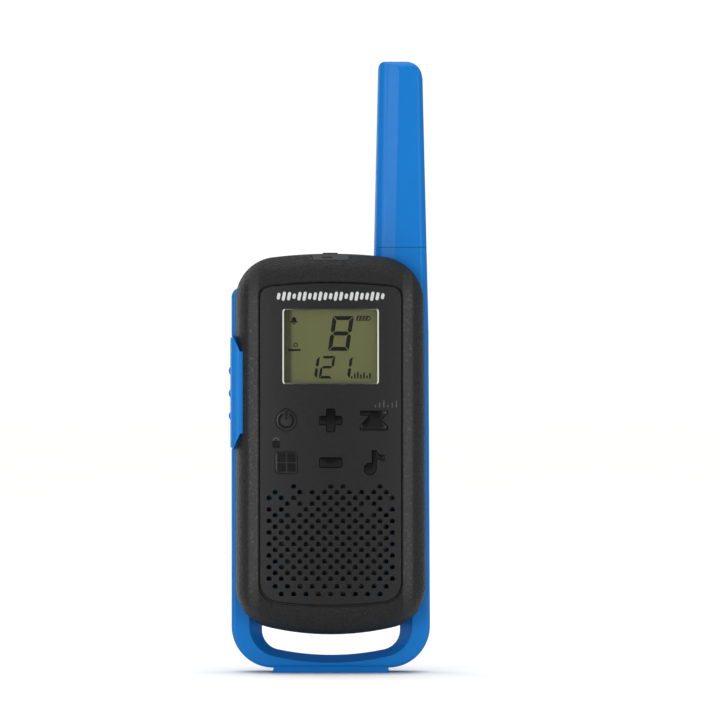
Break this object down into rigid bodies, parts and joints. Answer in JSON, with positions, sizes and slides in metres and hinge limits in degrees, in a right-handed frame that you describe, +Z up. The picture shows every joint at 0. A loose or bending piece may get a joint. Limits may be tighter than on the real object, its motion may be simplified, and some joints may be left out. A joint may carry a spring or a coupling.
{
  "type": "walkie talkie",
  "caption": "Handheld two-way radio with a blade antenna, recessed display and keypad, speaker hole field, side push-to-talk bar, strap loop, battery door and belt clip.",
  "frame": {"origin": "centre of the standing foot's underside, halfway between the sides and between the front and back of the loop", "axes": "+Z up along the radio, the front with the display faces -Y, +X to the right of someone looking at the front"},
  "size_m": [0.0551, 0.0376, 0.168],
  "materials": {
    "dark_plastic": "spark-textured",
    "blue_plastic": "fine satin texture",
    "antenna_skin": "fine satin texture",
    "button_blue": "fine satin texture",
    "key_rubber": "glossy lacquered tops",
    "cover_rubber": "matt",
    "clear_window": "polished acrylic",
    "display": "olive reflective display",
    "light_guide": "milky moulded acrylic",
    "foam": "foam",
    "silicone": "matt silicone",
    "circuit_board": "solder mask",
    "chips": "moulded epoxy",
    "tinplate": "tin plated",
    "brass_plated": "turned",
    "magnet_steel": "nickel plated",
    "paper_cone": "pressed paper",
    "cloth": "woven",
    "ceramic_core": "moulded former",
    "cell_sleeve": "printed sleeve",
    "steel": "zinc plated",
    "spring_steel": "nickel plated",
    "clip_plastic": "satin",
    "red_wire": "insulation",
    "black_wire": "insulation"
  },
  "bodies": {
    "radio": {"front_housing": "dark_plastic", "rear_housing": "blue_plastic", "antenna_sheath": "antenna_skin", "antenna_coil": "spring_steel", "antenna_core": "ceramic_core", "antenna_feed": "brass_plated", "display_window": "clear_window", "display_gasket": "foam", "lcd_glass": "display", "lcd_backlight": "light_guide", "zebra_strip": "silicone", "keypad_mat": "silicone", "key_domes": "spring_steel", "main_board": "circuit_board", "rf_shield": "tinplate", "board_chips": "chips", "headset_jack": "chips", "usb_socket": "tinplate", "ptt_switch": "chips", "grille_cloth": "cloth", "speaker_gasket": "foam", "speaker_basket": "steel", "speaker_cone": "paper_cone", "speaker_magnet": "magnet_steel", "speaker_lead_red": "red_wire", "speaker_lead_black": "black_wire", "microphone": "tinplate", "microphone_boot": "cover_rubber", "battery_cell_1": "cell_sleeve", "battery_cell_2": "cell_sleeve", "battery_cell_3": "cell_sleeve", "battery_springs": "spring_steel", "battery_plates": "spring_steel", "housing_seal": "silicone", "housing_screws": "steel", "board_screws": "steel"},
    "power_key": {"key_power": "key_rubber"},
    "plus_key": {"key_plus": "key_rubber"},
    "scan_key": {"key_scan": "key_rubber"},
    "menu_key": {"key_menu": "key_rubber"},
    "minus_key": {"key_minus": "key_rubber"},
    "tone_key": {"key_tone": "key_rubber"},
    "push_to_talk": {"ptt_button": "button_blue"},
    "door": {"battery_door": "blue_plastic"},
    "cover": {"port_cover": "cover_rubber"},
    "clip_slider": {"clip_base": "clip_plastic", "clip_pin": "steel", "clip_spring": "spring_steel"},
    "clip_lever": {"clip_arm": "clip_plastic"}
  },
  "joints": [
    {"name": "power_key_press", "type": "slide", "parent": "radio", "child": "power_key", "axis": [0, 1, 0], "range_m": [0, 0.0006], "stiffness_N_per_m": 500, "deforming": ["keypad_mat"]},
    {"name": "plus_key_press", "type": "slide", "parent": "radio", "child": "plus_key", "axis": [0, 1, 0], "range_m": [0, 0.0006], "stiffness_N_per_m": 500, "deforming": ["keypad_mat"]},
    {"name": "scan_key_press", "type": "slide", "parent": "radio", "child": "scan_key", "axis": [0, 1, 0], "range_m": [0, 0.0006], "stiffness_N_per_m": 500, "deforming": ["keypad_mat"]},
    {"name": "menu_key_press", "type": "slide", "parent": "radio", "child": "menu_key", "axis": [0, 1, 0], "range_m": [0, 0.0006], "stiffness_N_per_m": 500, "deforming": ["keypad_mat"]},
    {"name": "minus_key_press", "type": "slide", "parent": "radio", "child": "minus_key", "axis": [0, 1, 0], "range_m": [0, 0.0006], "stiffness_N_per_m": 500, "deforming": ["keypad_mat"]},
    {"name": "tone_key_press", "type": "slide", "parent": "radio", "child": "tone_key", "axis": [0, 1, 0], "range_m": [0, 0.0006], "stiffness_N_per_m": 500, "deforming": ["keypad_mat"]},
    {"name": "push_to_talk_press", "type": "slide", "parent": "radio", "child": "push_to_talk", "axis": [1, 0, 0], "range_m": [0, 0.0006], "stiffness_N_per_m": 1500},
    {"name": "battery_door_hinge", "type": "hinge", "parent": "radio", "child": "door", "pos_m": [0, 0.009, 0.0172], "axis": [-1, 0, 0], "range_deg": [0, 75]},
    {"name": "port_cover_hinge", "type": "hinge", "parent": "radio", "child": "cover", "pos_m": [0, -0.00808, 0.115], "axis": [-1, 0, 0], "range_deg": [0, 150]},
    {"name": "clip_slide", "type": "slide", "parent": "radio", "child": "clip_slider", "axis": [0, 0, 1], "range_m": [0, 0.015]},
    {"name": "clip_lever_hinge", "type": "hinge", "parent": "clip_slider", "child": "clip_lever", "pos_m": [0, 0.0153, 0.1], "axis": [1, 0, 0], "range_deg": [0, 16], "stiffness_Nm_per_rad": 0.2, "springref_deg": -11.46, "deforming": ["clip_spring"]}
  ]
}
